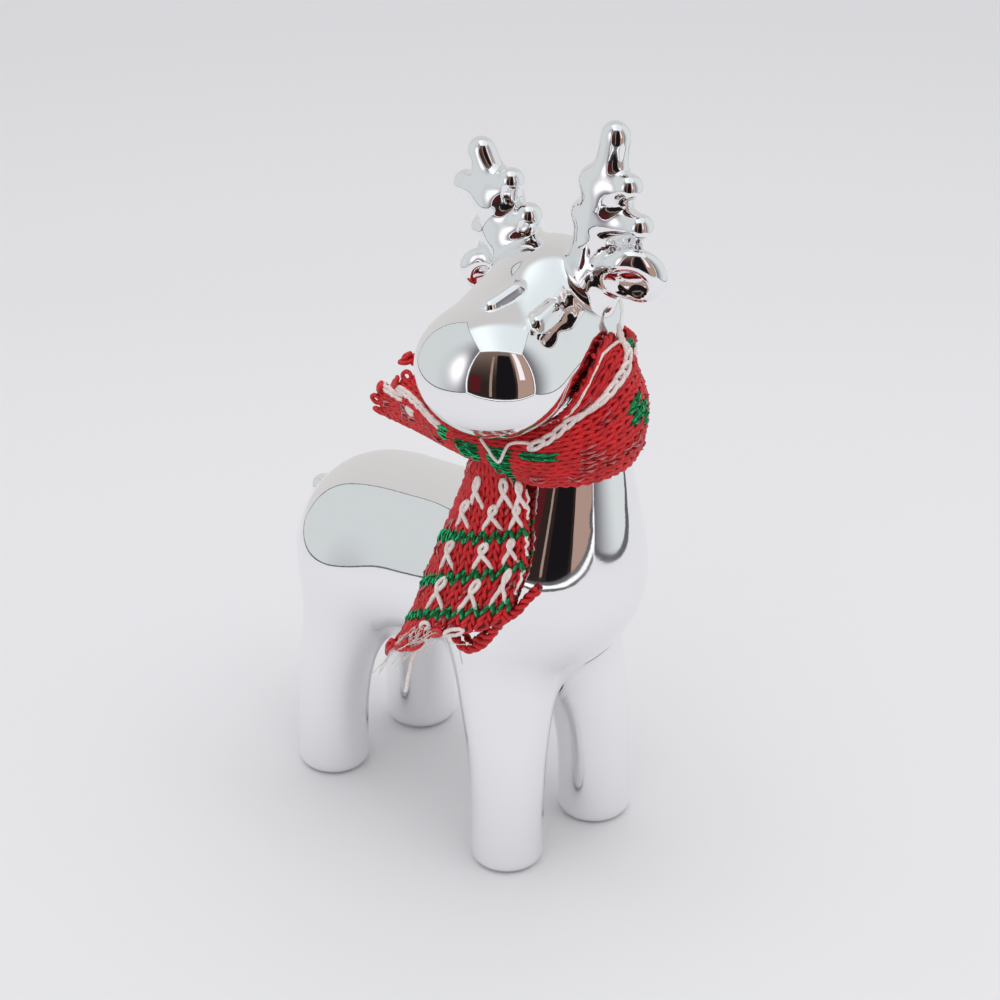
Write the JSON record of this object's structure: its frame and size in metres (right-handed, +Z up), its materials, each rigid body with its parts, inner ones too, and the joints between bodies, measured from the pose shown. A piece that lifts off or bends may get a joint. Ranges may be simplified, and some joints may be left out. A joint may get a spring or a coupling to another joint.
{
  "type": "reindeer figurine",
  "caption": "Standing mirror-silver ceramic reindeer figurine with stubby legs, head turned aside, lobed antlers and a knitted scarf wound round its neck.",
  "frame": {"origin": "centre of the footprint of the whole model, at the height of the soles", "axes": "+Z up; the body faces -Y, so the animal's right side, to which the head is turned, is -X"},
  "size_m": [0.051, 0.0957, 0.1594],
  "materials": {
    "silver_plate": "mirror-bright electroplated skin on glazed ceramic",
    "scarf_red": "knitted yarn with a slight sheen",
    "scarf_white": "white yarn laid over the knit",
    "scarf_green": "green yarn with glittering thread"
  },
  "bodies": {
    "root": {"reindeer": "silver_plate", "scarf": "scarf_red"}
  },
  "joints": []
}
